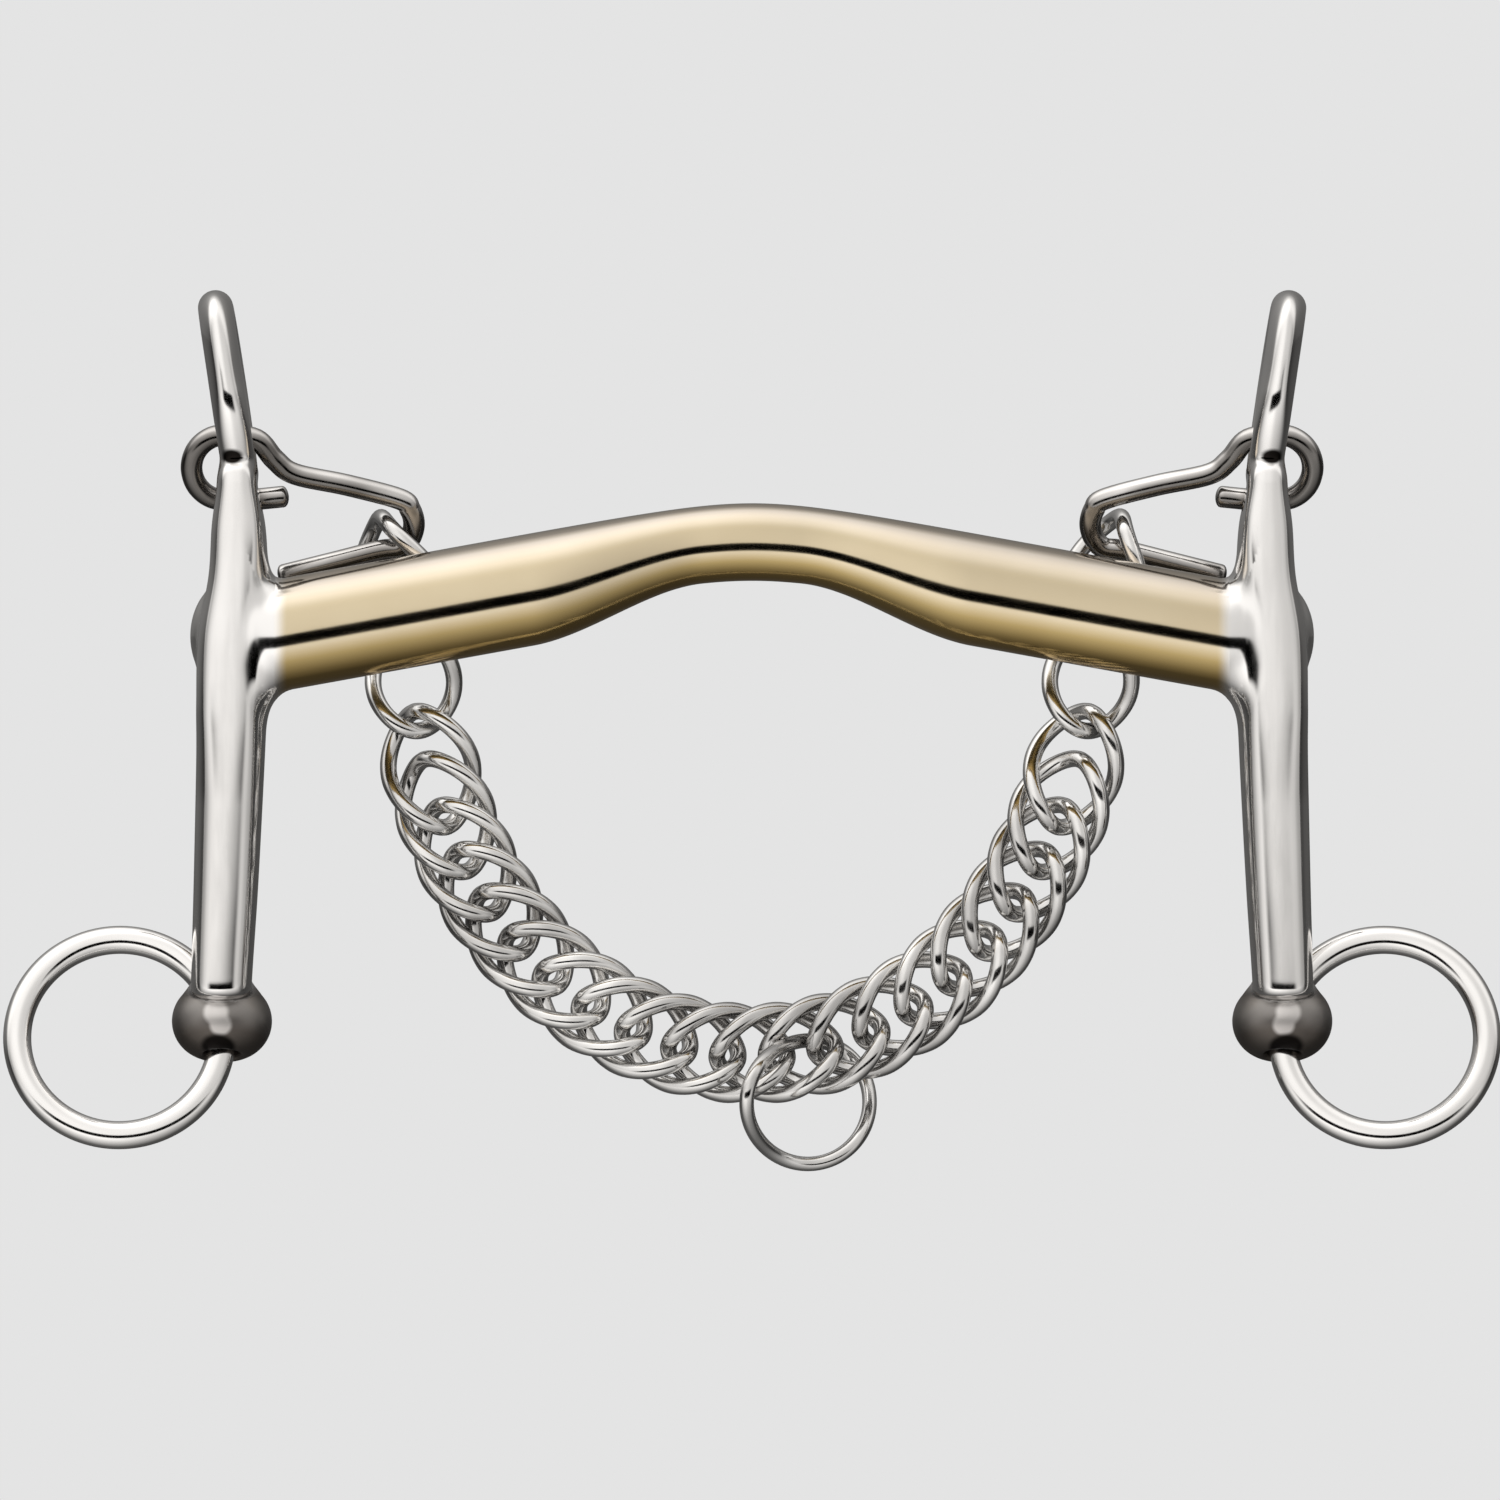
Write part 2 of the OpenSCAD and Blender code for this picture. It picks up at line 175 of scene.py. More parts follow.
def polishedMetal(name, look):
    # tones vary over the metal in soft patches, and fine scratches run through the gloss
    s = metalNoise
    material, nodes, links, shader = newMaterial(name)
    place = nodes.new("ShaderNodeTexCoord")
    patches = noise(nodes, links, place, s["patchScale"], s["patchDetail"])
    tone = ramp(nodes, list(zip(s["patchSpan"], look["tones"])))
    links.new(patches.outputs["Fac"], tone.inputs["Fac"])
    links.new(tone.outputs["Color"], shader.inputs["Base Color"])
    wear = noise(nodes, links, place, s["wearScale"], s["wearDetail"], look["grain"])
    gloss = ramp(nodes, list(zip(s["wearSpan"], look["rough"])))
    links.new(wear.outputs["Fac"], gloss.inputs["Fac"])
    links.new(gloss.outputs["Color"], shader.inputs["Roughness"])
    bump = nodes.new("ShaderNodeBump")
    bump.inputs["Strength"].default_value = look["scratch"]
    bump.inputs["Distance"].default_value = s["scratchDepth"]
    links.new(wear.outputs["Fac"], bump.inputs["Height"])
    links.new(bump.outputs["Normal"], shader.inputs["Normal"])
    shader.inputs["Metallic"].default_value = 1
    return material, nodes, links, shader, tone, place


# a spot is a middle, the radius within which it is full and the radius at which it ends
steelLook = {"tones": [(0.86, 0.845, 0.83), (0.91, 0.895, 0.88)], "rough": (0.09, 0.14), "scratch": 0.05,
             "grain": (1, 1, 0.15)}
chainLook = {"tones": [(0.54, 0.53, 0.52), (0.85, 0.84, 0.825)], "rough": (0.1, 0.18), "scratch": 0.08,
             "grain": (1, 1, 1)}
hookLook = {
    "tones": [(0.55, 0.54, 0.53), (1.0, 1.0, 1.0)], "rough": (0.1, 0.2), "scratch": 0.12,
    "grain": (1, 1, 1),
    # painted light and shade: the wire is dark on its lower side and lighter on its upper side
    "sides": [(-1.0, (0.15, 0.142, 0.135)), (0.0, (0.24, 0.228, 0.216)), (0.3, (0.58, 0.56, 0.545)),
              (0.5, (0.88, 0.86, 0.84)), (0.9, (0.82, 0.8, 0.78))],
    # painted highlight round the chain's seat, lighter on the wire's upper side
    "paintedSeatHighlight": [(-1.0, (0.3, 0.29, 0.28)), (-0.2, (0.45, 0.435, 0.42)), (0.15, (0.85, 0.83, 0.81)),
             (0.9, (0.85, 0.83, 0.81))],
    "seat": ((51.0, 9.5, 19.5), 2.5, 7)}
# painted light and shade: the gold is paler above and deeper below, by the side that the surface turns to
goldLook = {
    "tones": [(0.95, 0.94, 0.92), (1.0, 1.0, 1.0)], "rough": (0.09, 0.14), "scratch": 0.05,
    "grain": (0.12, 1, 1),
    "sides": [(-1.0, (0.48, 0.32, 0.105)), (-0.78, (0.52, 0.36, 0.13)), (-0.5, (0.64, 0.48, 0.21)),
              (-0.28, (0.69, 0.585, 0.41)), (0.4, (0.65, 0.55, 0.375)), (0.8, (0.7, 0.63, 0.55)),
              (1.0, (0.68, 0.59, 0.47))],
    "fadeFrom": 65.6, "fadeTo": 67.9}
beadLook = {
    "bead": ((75.15, 2.7, -54.6), 6.8, 7.8), "tone": (0.15, 0.132, 0.118), "rough": 0.45,
    # painted light: lighter patches on the bead's front
    "paintedLight": (0.75, 0.715, 0.69),
    "paintedLightSpots": [((75.9, -4.3, -53.2), 1.3, 2.2), ((75.2, -4.0, -55.0), 1.1, 1.9)],
    # painted shade in the mouth of the ring's hole, and in the groove between eye and stem
    "paintedShade": (0.012, 0.01, 0.009),
    "paintedShadeSpots": [((75.6, -2.2, -58.2), 1.9, 2.9), ((73.4, -5.2, 25.5), 1.2, 1.8)]}


def math2(nodes, links, operation, a, b=None):
    node = nodes.new("ShaderNodeMath")
    node.operation = operation
    for socket, value in zip(node.inputs, (a, b)):
        if isinstance(value, (int, float)):
            socket.default_value = value
        elif value is not None:
            links.new(value, socket)
    return node.outputs["Value"]


def mapTo(nodes, links, value, low, high, way="SMOOTHSTEP"):
    node = nodes.new("ShaderNodeMapRange")
    node.interpolation_type = way
    node.inputs["From Min"].default_value = low
    node.inputs["From Max"].default_value = high
    links.new(value, node.inputs["Value"])
    return node.outputs["Result"]


def mixColour(nodes, links, share, a, b, blend="MIX"):
    node = nodes.new("ShaderNodeMix")
    node.data_type = "RGBA"
    node.blend_type = blend
    for name, value in (("Factor", share), ("A", a), ("B", b)):
        if isinstance(value, tuple):
            node.inputs[name].default_value = (*value, 1)
        elif isinstance(value, int):
            node.inputs[name].default_value = value
        else:
            links.new(value, node.inputs[name])
    return node.outputs["Result"]


def sidePlace(nodes, links, place):
    # distance from the middle plane, and the other two places
    split = nodes.new("ShaderNodeSeparateXYZ")
    links.new(place.outputs["Object"], split.inputs["Vector"])
    return math2(nodes, links, "ABSOLUTE", split.outputs["X"]), split.outputs["Y"], split.outputs["Z"]


def spotShare(nodes, links, place, spot):
    middle, full, end = spot
    off = [math2(nodes, links, "SUBTRACT", value, part * mm) for value, part in zip(place, middle)]
    squares = [math2(nodes, links, "MULTIPLY", value, value) for value in off]
    total = math2(nodes, links, "ADD", math2(nodes, links, "ADD", *squares[:2]), squares[2])
    return mapTo(nodes, links, math2(nodes, links, "SQRT", total), end * mm, full * mm)


def paintedSideShading(nodes, links, place, stops, tone=None):
    # painted light and shade: colour by the side that the surface turns to, under the metal's own patches
    split = nodes.new("ShaderNodeSeparateXYZ")
    links.new(place.outputs["Normal"], split.inputs["Vector"])
    at = math2(nodes, links, "MULTIPLY", math2(nodes, links, "ADD", split.outputs["Z"], 1), 0.5)
    sides = ramp(nodes, [((z + 1) / 2, colour) for z, colour in stops])
    links.new(at, sides.inputs["Fac"])
    if tone is None:
        return sides.outputs["Color"]
    return mixColour(nodes, links, 1, sides.outputs["Color"], tone.outputs["Color"], "MULTIPLY")


def makeGold():
    # the gold ends in a soft line at each cheek
    look = goldLook
    metal, nodes, links, shader, tone, place = polishedMetal("mouthpieceGold", look)
    x, _, _ = sidePlace(nodes, links, place)
    fade = mapTo(nodes, links, x, look["fadeFrom"] * mm, look["fadeTo"] * mm)
    # painted light and shade on the gold, by the side that the surface turns to
    colour = paintedSideShading(nodes, links, place, look["sides"], tone)
    links.new(mixColour(nodes, links, fade, colour, steelLook["tones"][1]), shader.inputs["Base Color"])
    return metal


def makeHookSteel():
    # dark mottled wire, with painted light along its upper side, painted shade below and a painted
    # highlight round the chain's seat
    look = hookLook
    metal, nodes, links, shader, tone, place = polishedMetal("hookSteel", look)
    paintedSeatHighlight = spotShare(nodes, links, sidePlace(nodes, links, place), look["seat"])
    tones = [paintedSideShading(nodes, links, place, look[name], tone) for name in ("sides", "paintedSeatHighlight")]
    links.new(mixColour(nodes, links, paintedSeatHighlight, *tones), shader.inputs["Base Color"])
    return metal


def makeCheekSteel():
    # the gold's soft line goes on a little, with the gold's painted light and shade; the rein bead is dark
    # and dull, with a painted light patch on its front, and painted shade darkens the mouth of the ring's
    # hole and the groove between eye and stem
    bead = beadLook
    metal, nodes, links, shader, tone, place = polishedMetal("cheekSteel", steelLook)
    xyz = sidePlace(nodes, links, place)
    fade = mapTo(nodes, links, xyz[0], goldLook["fadeFrom"] * mm, goldLook["fadeTo"] * mm)
    # the gold's painted light and shade, paler above and deeper below
    paintedGoldShading = paintedSideShading(nodes, links, place, goldLook["sides"])
    colour = mixColour(nodes, links, fade, paintedGoldShading, tone.outputs["Color"])
    dull = spotShare(nodes, links, xyz, bead["bead"])
    beadColour = bead["tone"]
    # painted light patches on the bead's front
    for spot in bead["paintedLightSpots"]:
        beadColour = mixColour(nodes, links, spotShare(nodes, links, xyz, spot), beadColour, bead["paintedLight"])
    colour = mixColour(nodes, links, dull, colour, beadColour)
    # painted shade in the ring's hole mouth and in the groove between eye and stem
    for spot in bead["paintedShadeSpots"]:
        colour = mixColour(nodes, links, spotShare(nodes, links, xyz, spot), colour, bead["paintedShade"])
    links.new(colour, shader.inputs["Base Color"])
    rough = shader.inputs["Roughness"].links[0].from_socket
    links.new(mixColour(nodes, links, dull, rough, (bead["rough"],) * 3), shader.inputs["Roughness"])
    return metal


steel = polishedMetal("polishedSteel", steelLook)[0]
chainSteel = polishedMetal("chainSteel", chainLook)[0]
hookSteel = makeHookSteel()
cheekSteel = makeCheekSteel()
gold = makeGold()
print("stage: materials made")


# Mouthpiece: straight side runs up to a rounded crown, thinner in the middle

mouthpieceShape = {
    "width": 135, "barD": 16, "portD": 11, "portRise": 13.3, "sideSlope": 0.2, "crownRound": 2.3,
    "portFlat": 14, "portW": 62, "joinFrom": 60, "thinnest": 0.7, "thickest": 1.5, "halvings": 24,
    "rings": 280, "sides": 80}


def sideFall(x):
    s = mouthpieceShape
    return np.sqrt((s["sideSlope"] * x) ** 2 + s["crownRound"] ** 2) - s["crownRound"]


def barSize(x):
    s = mouthpieceShape
    share = smoothStep((2 * np.abs(x) - s["portFlat"]) / (s["portW"] - s["portFlat"]))
    return s["portD"] + (s["barD"] - s["portD"]) * share


def barMid(x):
    s = mouthpieceShape
    half = s["width"] / 2
    top = s["portRise"] + s["portD"] / 2
    shift = s["barD"] / 2 - (top - sideFall(half))
    return top - sideFall(x) - barSize(x) / 2 + shift * (x / half) ** 2


# Cheek: eye, stem, boss, shank and rein bead flow into each other. The right one is
# worked out as a distance field, turned into a mesh, and mirrored for the left.

cheekShape = {
    "eyeMid": (74.26, 0, 34.9), "eyeLean": 8.5, "eyeR": 11.72, "eyeFore": 6.5, "eyeTuck": 1.4,
    "eyeBar": 2.5, "eyeSquare": 1.3, "eyeTurn": 5, "eyeTurnFrom": -2, "eyeDeep": 2.2, "eyeDeepFrom": -8,
    # height, place, width, front and back
    "stations": [
        (27, 73.0, 5.5, -7.1, 2.6), (21.4, 72.9, 5.8, -7.1, 2.6), (15.5, 72.7, 7.6, -7.1, 2.75),
        (8.5, 72.75, 8.4, -7.1, 2.9), (0, 73.55, 9.8, -7.1, 4.3), (-9.5, 73.7, 10, -7.1, 3.6),
        (-17.5, 73.85, 9.7, -7.1, 3.3), (-35.5, 74.5, 9.15, -7.1, 2.95), (-50.1, 75.15, 8.6, -7.1, 2.6),
        (-58, 75.15, 8.6, -7.1, 2.6)], "tableSteps": 24,
    "square": 2.25, "squareUp": 0.85, "squareFrom": -24, "squareL": 18, "flatX": 69, "flatL": 5,
    "flatZ": 5, "flatRise": 14,
    "tongueFrom": -47.9, "tongueL": 3.7, "topFrom": 21.7, "topL": 3.5, "topSquare": 2.3, "endSquare": 6,
    "endX": 67.5, "slip": 0.2, "slipL": 0.9, "joinX": 66.5, "joinL": 5, "barOut": 69.5, "barFade": 4,
    "domeMid": (73.4, 0.8, 0), "domeSize": (6.2, 5.4, 8.2),
    "beadMid": (75.15, 2.7, -54.6), "beadLean": 18, "beadR": 5.3, "beadCore": 1.8,
    "ringR": 14.5, "ringDrop": 2.4, "holeR": 12.15, "holeL": 9.0,
    "eyeBlend": 0.9, "topBlend": 0.55, "lowBlend": 0.75, "blendFrom": -4, "blendL": 8, "domeBlend": 0.5,
    "beadBlend": 0.6, "shoulder": 2.4, "shoulderFrom": -4, "shoulderL": 6, "holeBlend": 0.9,
    "low": (65, -16, -64), "high": (83, 16, 51), "grid": 0.34, "rounds": 4, "farthest": 0.3,
    "leastSlope": 0.05}


def smoothMin(a, b, k):
    h = np.clip(0.5 + 0.5 * (b - a) / k, 0, 1)
    return b + (a - b) * h - k * h * (1 - h)


def smoothMax(a, b, k):
    return -smoothMin(-a, -b, k)


cheekTable = throughPoints(cheekShape["stations"], cheekShape["tableSteps"])[::-1]


def bodyField(p):
    # the bar and the cheek crossing it, as one flat outline with a shared rounded edge
    s = cheekShape
    x, y, z = p[..., 0], p[..., 1], p[..., 2]
    midX, wide, front, back = (np.interp(z, cheekTable[:, 0], cheekTable[:, i]) for i in (1, 2, 3, 4))
    inside = np.minimum(x, s["endX"])
    barR = barSize(inside) / 2
    upright = np.abs(x - midX) / (wide / 2)
    level = np.hypot((z - barMid(inside)) / barR, np.maximum(x - s["barOut"], 0) / s["barFade"])
    rise = smoothStep((z - s["blendFrom"]) / s["blendL"])
    blend = s["lowBlend"] + (s["topBlend"] - s["lowBlend"]) * rise
    edge = np.maximum(smoothMin(upright, level, blend), 0)
    share = smoothStep((x - s["joinX"]) / s["joinL"])
    deep = barR + ((back - front) / 2 - barR) * share
    v = np.abs(y - share * (front + back) / 2) / deep
    # the shank is rounder than the flat-faced crossing and stem
    square = s["square"] + s["squareUp"] * smoothStep((z - s["squareFrom"]) / s["squareL"])
    flat = np.maximum(smoothStep((x - s["flatX"]) / s["flatL"]),
                      smoothStep((z - s["flatZ"]) / s["flatRise"]))
    q = 2 + (square - 2) * share * flat
    ends = (np.maximum(s["tongueFrom"] - z, 0) / s["tongueL"]) ** s["endSquare"] \
        + (np.maximum(z - s["topFrom"], 0) / s["topL"]) ** s["topSquare"]
    g = np.maximum(edge ** q + v ** q + ends, tiny) ** (1 / q)
    near = np.where(upright < level, wide / 2, barR)
    slopes = (edge ** (q - 1) / near) ** 2 + (v ** (q - 1) / deep) ** 2 + (ends / s["topL"]) ** 2
    return (g - 1) / np.maximum(g ** (1 - q) * np.sqrt(slopes), s["leastSlope"])


def cheekField(p):
    # leaning eye, body, domed boss and rein bead
    s = cheekShape
    lean = math.radians(s["eyeLean"])
    d = p - np.array(s["eyeMid"])
    across = d[..., 0] * math.cos(lean) - d[..., 2] * math.sin(lean)
    rise = d[..., 0] * math.sin(lean) + d[..., 2] * math.cos(lean)
    fore = s["eyeFore"] - s["eyeTuck"] * smoothStep(-rise / s["eyeR"])
    reach = np.where(d[..., 1] < 0, fore, s["eyeR"])
    u, v = np.abs(d[..., 1]) / reach, np.abs(rise) / s["eyeR"]
    square = smoothStep(-d[..., 1] / s["eyeTurn"]) * smoothStep((rise - s["eyeTurnFrom"]) / s["eyeTurn"])
    q = 2 + s["eyeSquare"] * square
    far = np.maximum(u ** q + v ** q, tiny) ** (1 / q)
    steep = np.hypot(u ** (q - 1) / reach, v ** (q - 1) / s["eyeR"])
    away = (far - 1) * far ** (q - 1) / np.maximum(steep, small)
    # the eye's bar is deeper than wide up its front
    deep = smoothStep(-d[..., 1] / s["eyeFore"]) * smoothStep((rise - s["eyeDeepFrom"]) / s["eyeR"])
    inset = s["eyeDeep"] * deep
    eye = np.hypot((away + inset) * s["eyeBar"] / (s["eyeBar"] + inset), across) - s["eyeBar"]
    size = np.array(s["domeSize"])
    d = (p - np.array(s["domeMid"])) / size
    far = np.sqrt((d * d).sum(-1))
    dome = far * (far - 1) / np.maximum(np.sqrt((d * d / size ** 2).sum(-1)), small)
    # bead round the leaning hole
    tilt = math.radians(s["beadLean"])
    d = p - np.array(s["beadMid"])
    up = d[..., 1] * math.sin(tilt) + d[..., 2] * math.cos(tilt)
    side = np.hypot(d[..., 0], d[..., 1] * math.cos(tilt) - d[..., 2] * math.sin(tilt))
    bead = np.hypot(np.maximum(side - s["beadCore"], 0), up) - s["beadR"]
    hole = np.maximum(s["holeR"] - np.hypot(side - s["ringR"], up + s["ringDrop"]),
                      np.maximum(np.abs(up + s["ringDrop"]) - s["holeL"], side - s["ringR"]))
    found = smoothMin(eye, bodyField(p), s["eyeBlend"])
    found = smoothMin(found, dome, s["domeBlend"])
    soft = s["beadBlend"] + s["shoulder"] * smoothStep((p[..., 1] - s["shoulderFrom"]) / s["shoulderL"])
    found = smoothMin(found, bead, soft)
    return smoothMax(found, -hole, s["holeBlend"])


def clippedField(p):
    # the cheek's inner end slips just inside the bar, so that no seam shows
    inside = np.maximum(cheekShape["endX"] - p[..., 0], 0)
    return np.maximum(cheekField(p) + cheekShape["slip"] * inside, inside - cheekShape["slipL"])


def fieldSlope(field, p, step=0.01):
    slope = np.zeros_like(p)
    for i in range(3):
        move = np.zeros(3)
        move[i] = step
        slope[:, i] = (field(p + move) - field(p - move)) / (2 * step)
    return slope


def makeCheek():
    s = cheekShape
    low, high, h = np.array(s["low"], float), np.array(s["high"], float), s["grid"]
    axes = [np.arange(low[i], high[i], h) for i in range(3)]
    values = np.empty([len(a) for a in axes], np.float32)
    yy, zz = np.meshgrid(axes[1], axes[2], indexing="ij")
    for i, x in enumerate(axes[0]):
        values[i] = clippedField(np.stack([np.full_like(yy, x), yy, zz], -1))
    grid = openvdb.FloatGrid()
    grid.background = float(values.max())
    grid.copyFromArray(values)
    points, quads = grid.convertToQuads(0.0)
    points = points.astype(float) * h + low
    # the grid's points are drawn onto the surface itself
    for _ in range(s["rounds"]):
        slope = fieldSlope(clippedField, points)
        shift = clippedField(points) / np.maximum((slope ** 2).sum(-1), s["leastSlope"])
        points -= np.clip(shift, -s["farthest"], s["farthest"])[:, None] * slope
    normals = unit(fieldSlope(cheekField, points))
    a = points[quads[0]]
    if np.dot(np.cross(a[1] - a[0], a[3] - a[0]), normals[quads[0][0]]) < 0:
        quads = quads[:, ::-1]
    return makeObject("rightCheekLook", points, quads, normals)


def makeMouthpiece():
    # the bar's ends swell into the cheeks, so their rings follow the cheek's field
    s = mouthpieceShape
    half = s["width"] / 2
    x = np.linspace(-half, half, s["rings"])
    t = np.linspace(0, 2 * math.pi, s["sides"], endpoint=False)
    r = np.repeat(barSize(x)[:, None] / 2, s["sides"], 1)
    ends = np.abs(x) > s["joinFrom"]
    xs = np.repeat(np.abs(x[ends])[:, None], s["sides"], 1)
    inner, outer = r[ends] * s["thinnest"], r[ends] * s["thickest"]
    for _ in range(s["halvings"]):
        middle = (inner + outer) / 2
        place = np.stack([xs, middle * np.cos(t), barMid(xs) + middle * np.sin(t)], -1)
        within = cheekField(place) < 0
        inner, outer = np.where(within, middle, inner), np.where(within, outer, middle)
    r[ends] = inner
    xs = np.repeat(x[:, None], s["sides"], 1)
    points = np.stack([xs, r * np.cos(t), barMid(xs) + r * np.sin(t)], -1)
    along = np.gradient(points, axis=0)
    around = np.roll(points, -1, 1) - np.roll(points, 1, 1)
    normals = unit(np.cross(around, along))
    faces = tubeFaces(len(x), s["sides"], False)
    return makeObject("mouthpieceLook", points.reshape(-1, 3), faces, normals.reshape(-1, 3))


fit(makeMouthpiece(), "bit", "mouthpiece", gold)
print("stage: mouthpiece made")
rightCheek = makeCheek()
leftCheek = mirrored("leftCheekLook", rightCheek)
fit(rightCheek, "bit", "right_cheek", cheekSteel)
fit(leftCheek, "bit", "left_cheek", cheekSteel)
print("stage: cheeks made,", len(rightCheek.data.polygons), "faces each")


# Rein rings: plain round rings, standing out to the side of their eyes

reinRingShape = {"eye": (75.15, 2.7, -54.6), "lean": 18, "ringR": 14.5, "wireR": 2.0, "drop": 2.4,
                 "stations": 144, "sides": 28}


def makeReinRing():
    s = reinRingShape
    lean = math.radians(s["lean"])
    up = np.array([0, math.sin(lean), math.cos(lean)])
    mid = np.array(s["eye"]) + np.array([s["ringR"], 0, 0]) - s["drop"] * up
    t = np.linspace(0, 2 * math.pi, s["stations"], endpoint=False)
    spokes = np.cos(t)[:, None] * np.array([1, 0, 0]) + np.sin(t)[:, None] * up
    return tube("rightReinRingLook", mid + s["ringR"] * spokes, spokes, s["wireR"], s["sides"], True)


rightRing = makeReinRing()
leftRing = mirrored("leftReinRingLook", rightRing)
fit(rightRing, "right_rein_ring", "right_rein_ring", steel)
fit(leftRing, "left_rein_ring", "left_rein_ring", steel)
print("stage: rein rings made")


# Curb chain: twisted oval rings in a hanging curve

chainShape = {
    "halfW": 48.2, "drop": 59.3, "back": 13.2, "pitch": 6.9, "bandRings": 20, "halfL": 8.5, "halfWide": 6.0,
    "reach": 7.1, "wireR": 1.2, "twist": 48, "firstTurn": 30, "secondTurn": 20,
    "firstDir": (0.227, -0.2363, 0.945), "secondDir": (0.1, 0, 1), "stations": 96, "sides": 18}


def ringAngles():
    # even steps along the hanging curve, from its lowest point to the right
    s = chainShape

    def speed(a):
        return math.hypot(s["halfW"] * math.cos(a), s["drop"] * math.sin(a))

    def onward(a, length):
        return a + length / speed(a + length / speed(a) / 2)

    angles = [onward(0, s["pitch"] / 2)]
    while len(angles) < s["bandRings"] // 2:
        angles.append(onward(angles[-1], s["pitch"]))
    return angles


def chainPlaces():
    # middle, direction and turn of each link, from left to right
    s = chainShape
    right = []
    for a in ringAngles():
        right.append((np.array([s["halfW"] * math.sin(a), s["back"], -s["drop"] * math.cos(a)]),
                      unit(np.array([s["halfW"] * math.cos(a), 0, s["drop"] * math.sin(a)])), 0))
    first, second = unit(np.array(s["firstDir"], float)), unit(np.array(s["secondDir"], float))
    joint = right[-1][0] + s["reach"] * right[-1][1]
    right.append((joint + s["reach"] * second, second, -s["secondTurn"]))
    joint = joint + 2 * s["reach"] * second
    right.append((joint + s["reach"] * first, first, -s["firstTurn"]))
    flip, turnBack = np.array([-1, 1, 1]), np.array([1, -1, -1])
    left = [(m * flip, d * turnBack, -turn) for m, d, turn in right]
    return left[::-1] + right


def makeLink(i, middle, u, turn):
    s = chainShape
    v = unit(np.cross([0, -1, 0], u))
    w = np.cross(u, v)
    t = np.linspace(0, 2 * math.pi, s["stations"], endpoint=False)
    f = np.radians(turn - s["twist"] * np.cos(t))
    spokes = np.cos(f)[:, None] * v + np.sin(f)[:, None] * w
    path = middle + s["halfL"] * np.cos(t)[:, None] * u + s["halfWide"] * np.sin(t)[:, None] * spokes
    hints = s["halfWide"] * np.cos(t)[:, None] * u + s["halfL"] * np.sin(t)[:, None] * spokes
    return tube(f"chainLink{i:02d}Look", path, hints, s["wireR"], s["sides"], True)


places = chainPlaces()
for number, (middle, way, turn) in enumerate(places, 1):
    row = min(number, len(places) + 1 - number)
    fit(makeLink(number, middle, way, turn), f"chain_row_{row:02d}", f"chain_link_{number:02d}",
        chainSteel)
print("stage: chain made,", len(places), "links")


# Fly link: round from the front, slanting backwards and bent once across that slant

flyShape = {"place": (7.97, 11.39, -66.22), "ringR": 8.75, "wireR": 1.04, "slant": (8.62, 1.96),
            "bend": (-2.11, 2.94), "stations": 120, "sides": 18}


def makeFlyLink():
    s = flyShape
    t = np.linspace(0, -2 * math.pi, s["stations"], endpoint=False)
    spokes = np.stack([np.cos(t), 0 * t, np.sin(t)], -1)
    depth = s["slant"][0] * np.cos(t) + s["slant"][1] * np.sin(t) \
        + s["bend"][0] * np.cos(2 * t) + s["bend"][1] * np.sin(2 * t)
    path = np.array(s["place"]) + s["ringR"] * spokes + np.stack([0 * t, depth, 0 * t], -1)
    return tube("flyLinkLook", path, spokes, s["wireR"], s["sides"], True)


fit(makeFlyLink(), "fly_link", "fly_link", chainSteel)
print("stage: fly link made")


# Curb hooks: one bent wire each, drawn in the plane through the upper eye's axis

hookShape = {
    "eyeX": 74.26, "eyeH": 34.9, "eyeR": 11.75, "eyeLean": 8.5, "lean": 25, "wireR": 1.55,
    # a turn is its first and last angle in degrees, and its number of points
    "loopR": 4.55, "loopTurn": (90, -90, 7), "bendR": 4.0, "bendTurn": (-120, -240, 5),
    "tail": [(-1.84, 0.9), (-0.87, 0.99)], "leg": [(-1.02, -0.88), (-1.6, -0.25), (-2.23, 0.2)],
    "kneeRise": 0.2, "loopOut": 2.3, "loopDown": 0.35, "seat": (52.51, 16.83), "seatIn": 0.5,
    "seatDown": 0.83, "returnL": 14, "returnSlope": 14, "steps": 8, "sides": 24}


def onCircle(middle, radius, turn):
    return [middle + radius * np.array([math.cos(a), math.sin(a)]) for a in np.radians(np.linspace(*turn))]


def makeHook():
    s = hookShape
    lean, slope = math.radians(s["lean"]), math.radians(s["returnSlope"])
    drop = s["eyeR"] * math.cos(lean)
    aside = drop * math.tan(math.radians(s["eyeLean"]))
    loop = np.array([s["eyeX"] - aside + s["loopOut"], drop + s["loopDown"]])
    bend = np.array([s["seat"][0] - s["seatIn"], s["eyeH"] - s["seat"][1] + s["seatDown"]])
    knee = loop + s["loopR"] * np.array(s["leg"][-1])
    flat = [loop + s["loopR"] * np.array(p) for p in s["tail"]]
    flat += onCircle(loop, s["loopR"], s["loopTurn"])
    flat += [loop + s["loopR"] * np.array(p) for p in s["leg"]]
    turn = onCircle(bend, s["bendR"], s["bendTurn"])
    flat.append((knee + turn[0]) / 2 - np.array([0, s["kneeRise"]]))
    flat += turn
    start = bend + s["bendR"] * np.array([math.sin(slope), math.cos(slope)])
    for share in (0, 0.5, 1):
        flat.append(start + share * s["returnL"] * np.array([math.cos(slope), math.sin(slope)]))
    curve = throughPoints(flat, s["steps"])
    path = np.stack([curve[:, 0], curve[:, 1] * math.tan(lean), s["eyeH"] - curve[:, 1]], -1)
    hints = np.tile([0, math.cos(lean), math.sin(lean)], (len(path), 1))
    return tube("rightCurbHookLook", path, hints, s["wireR"], s["sides"], False)


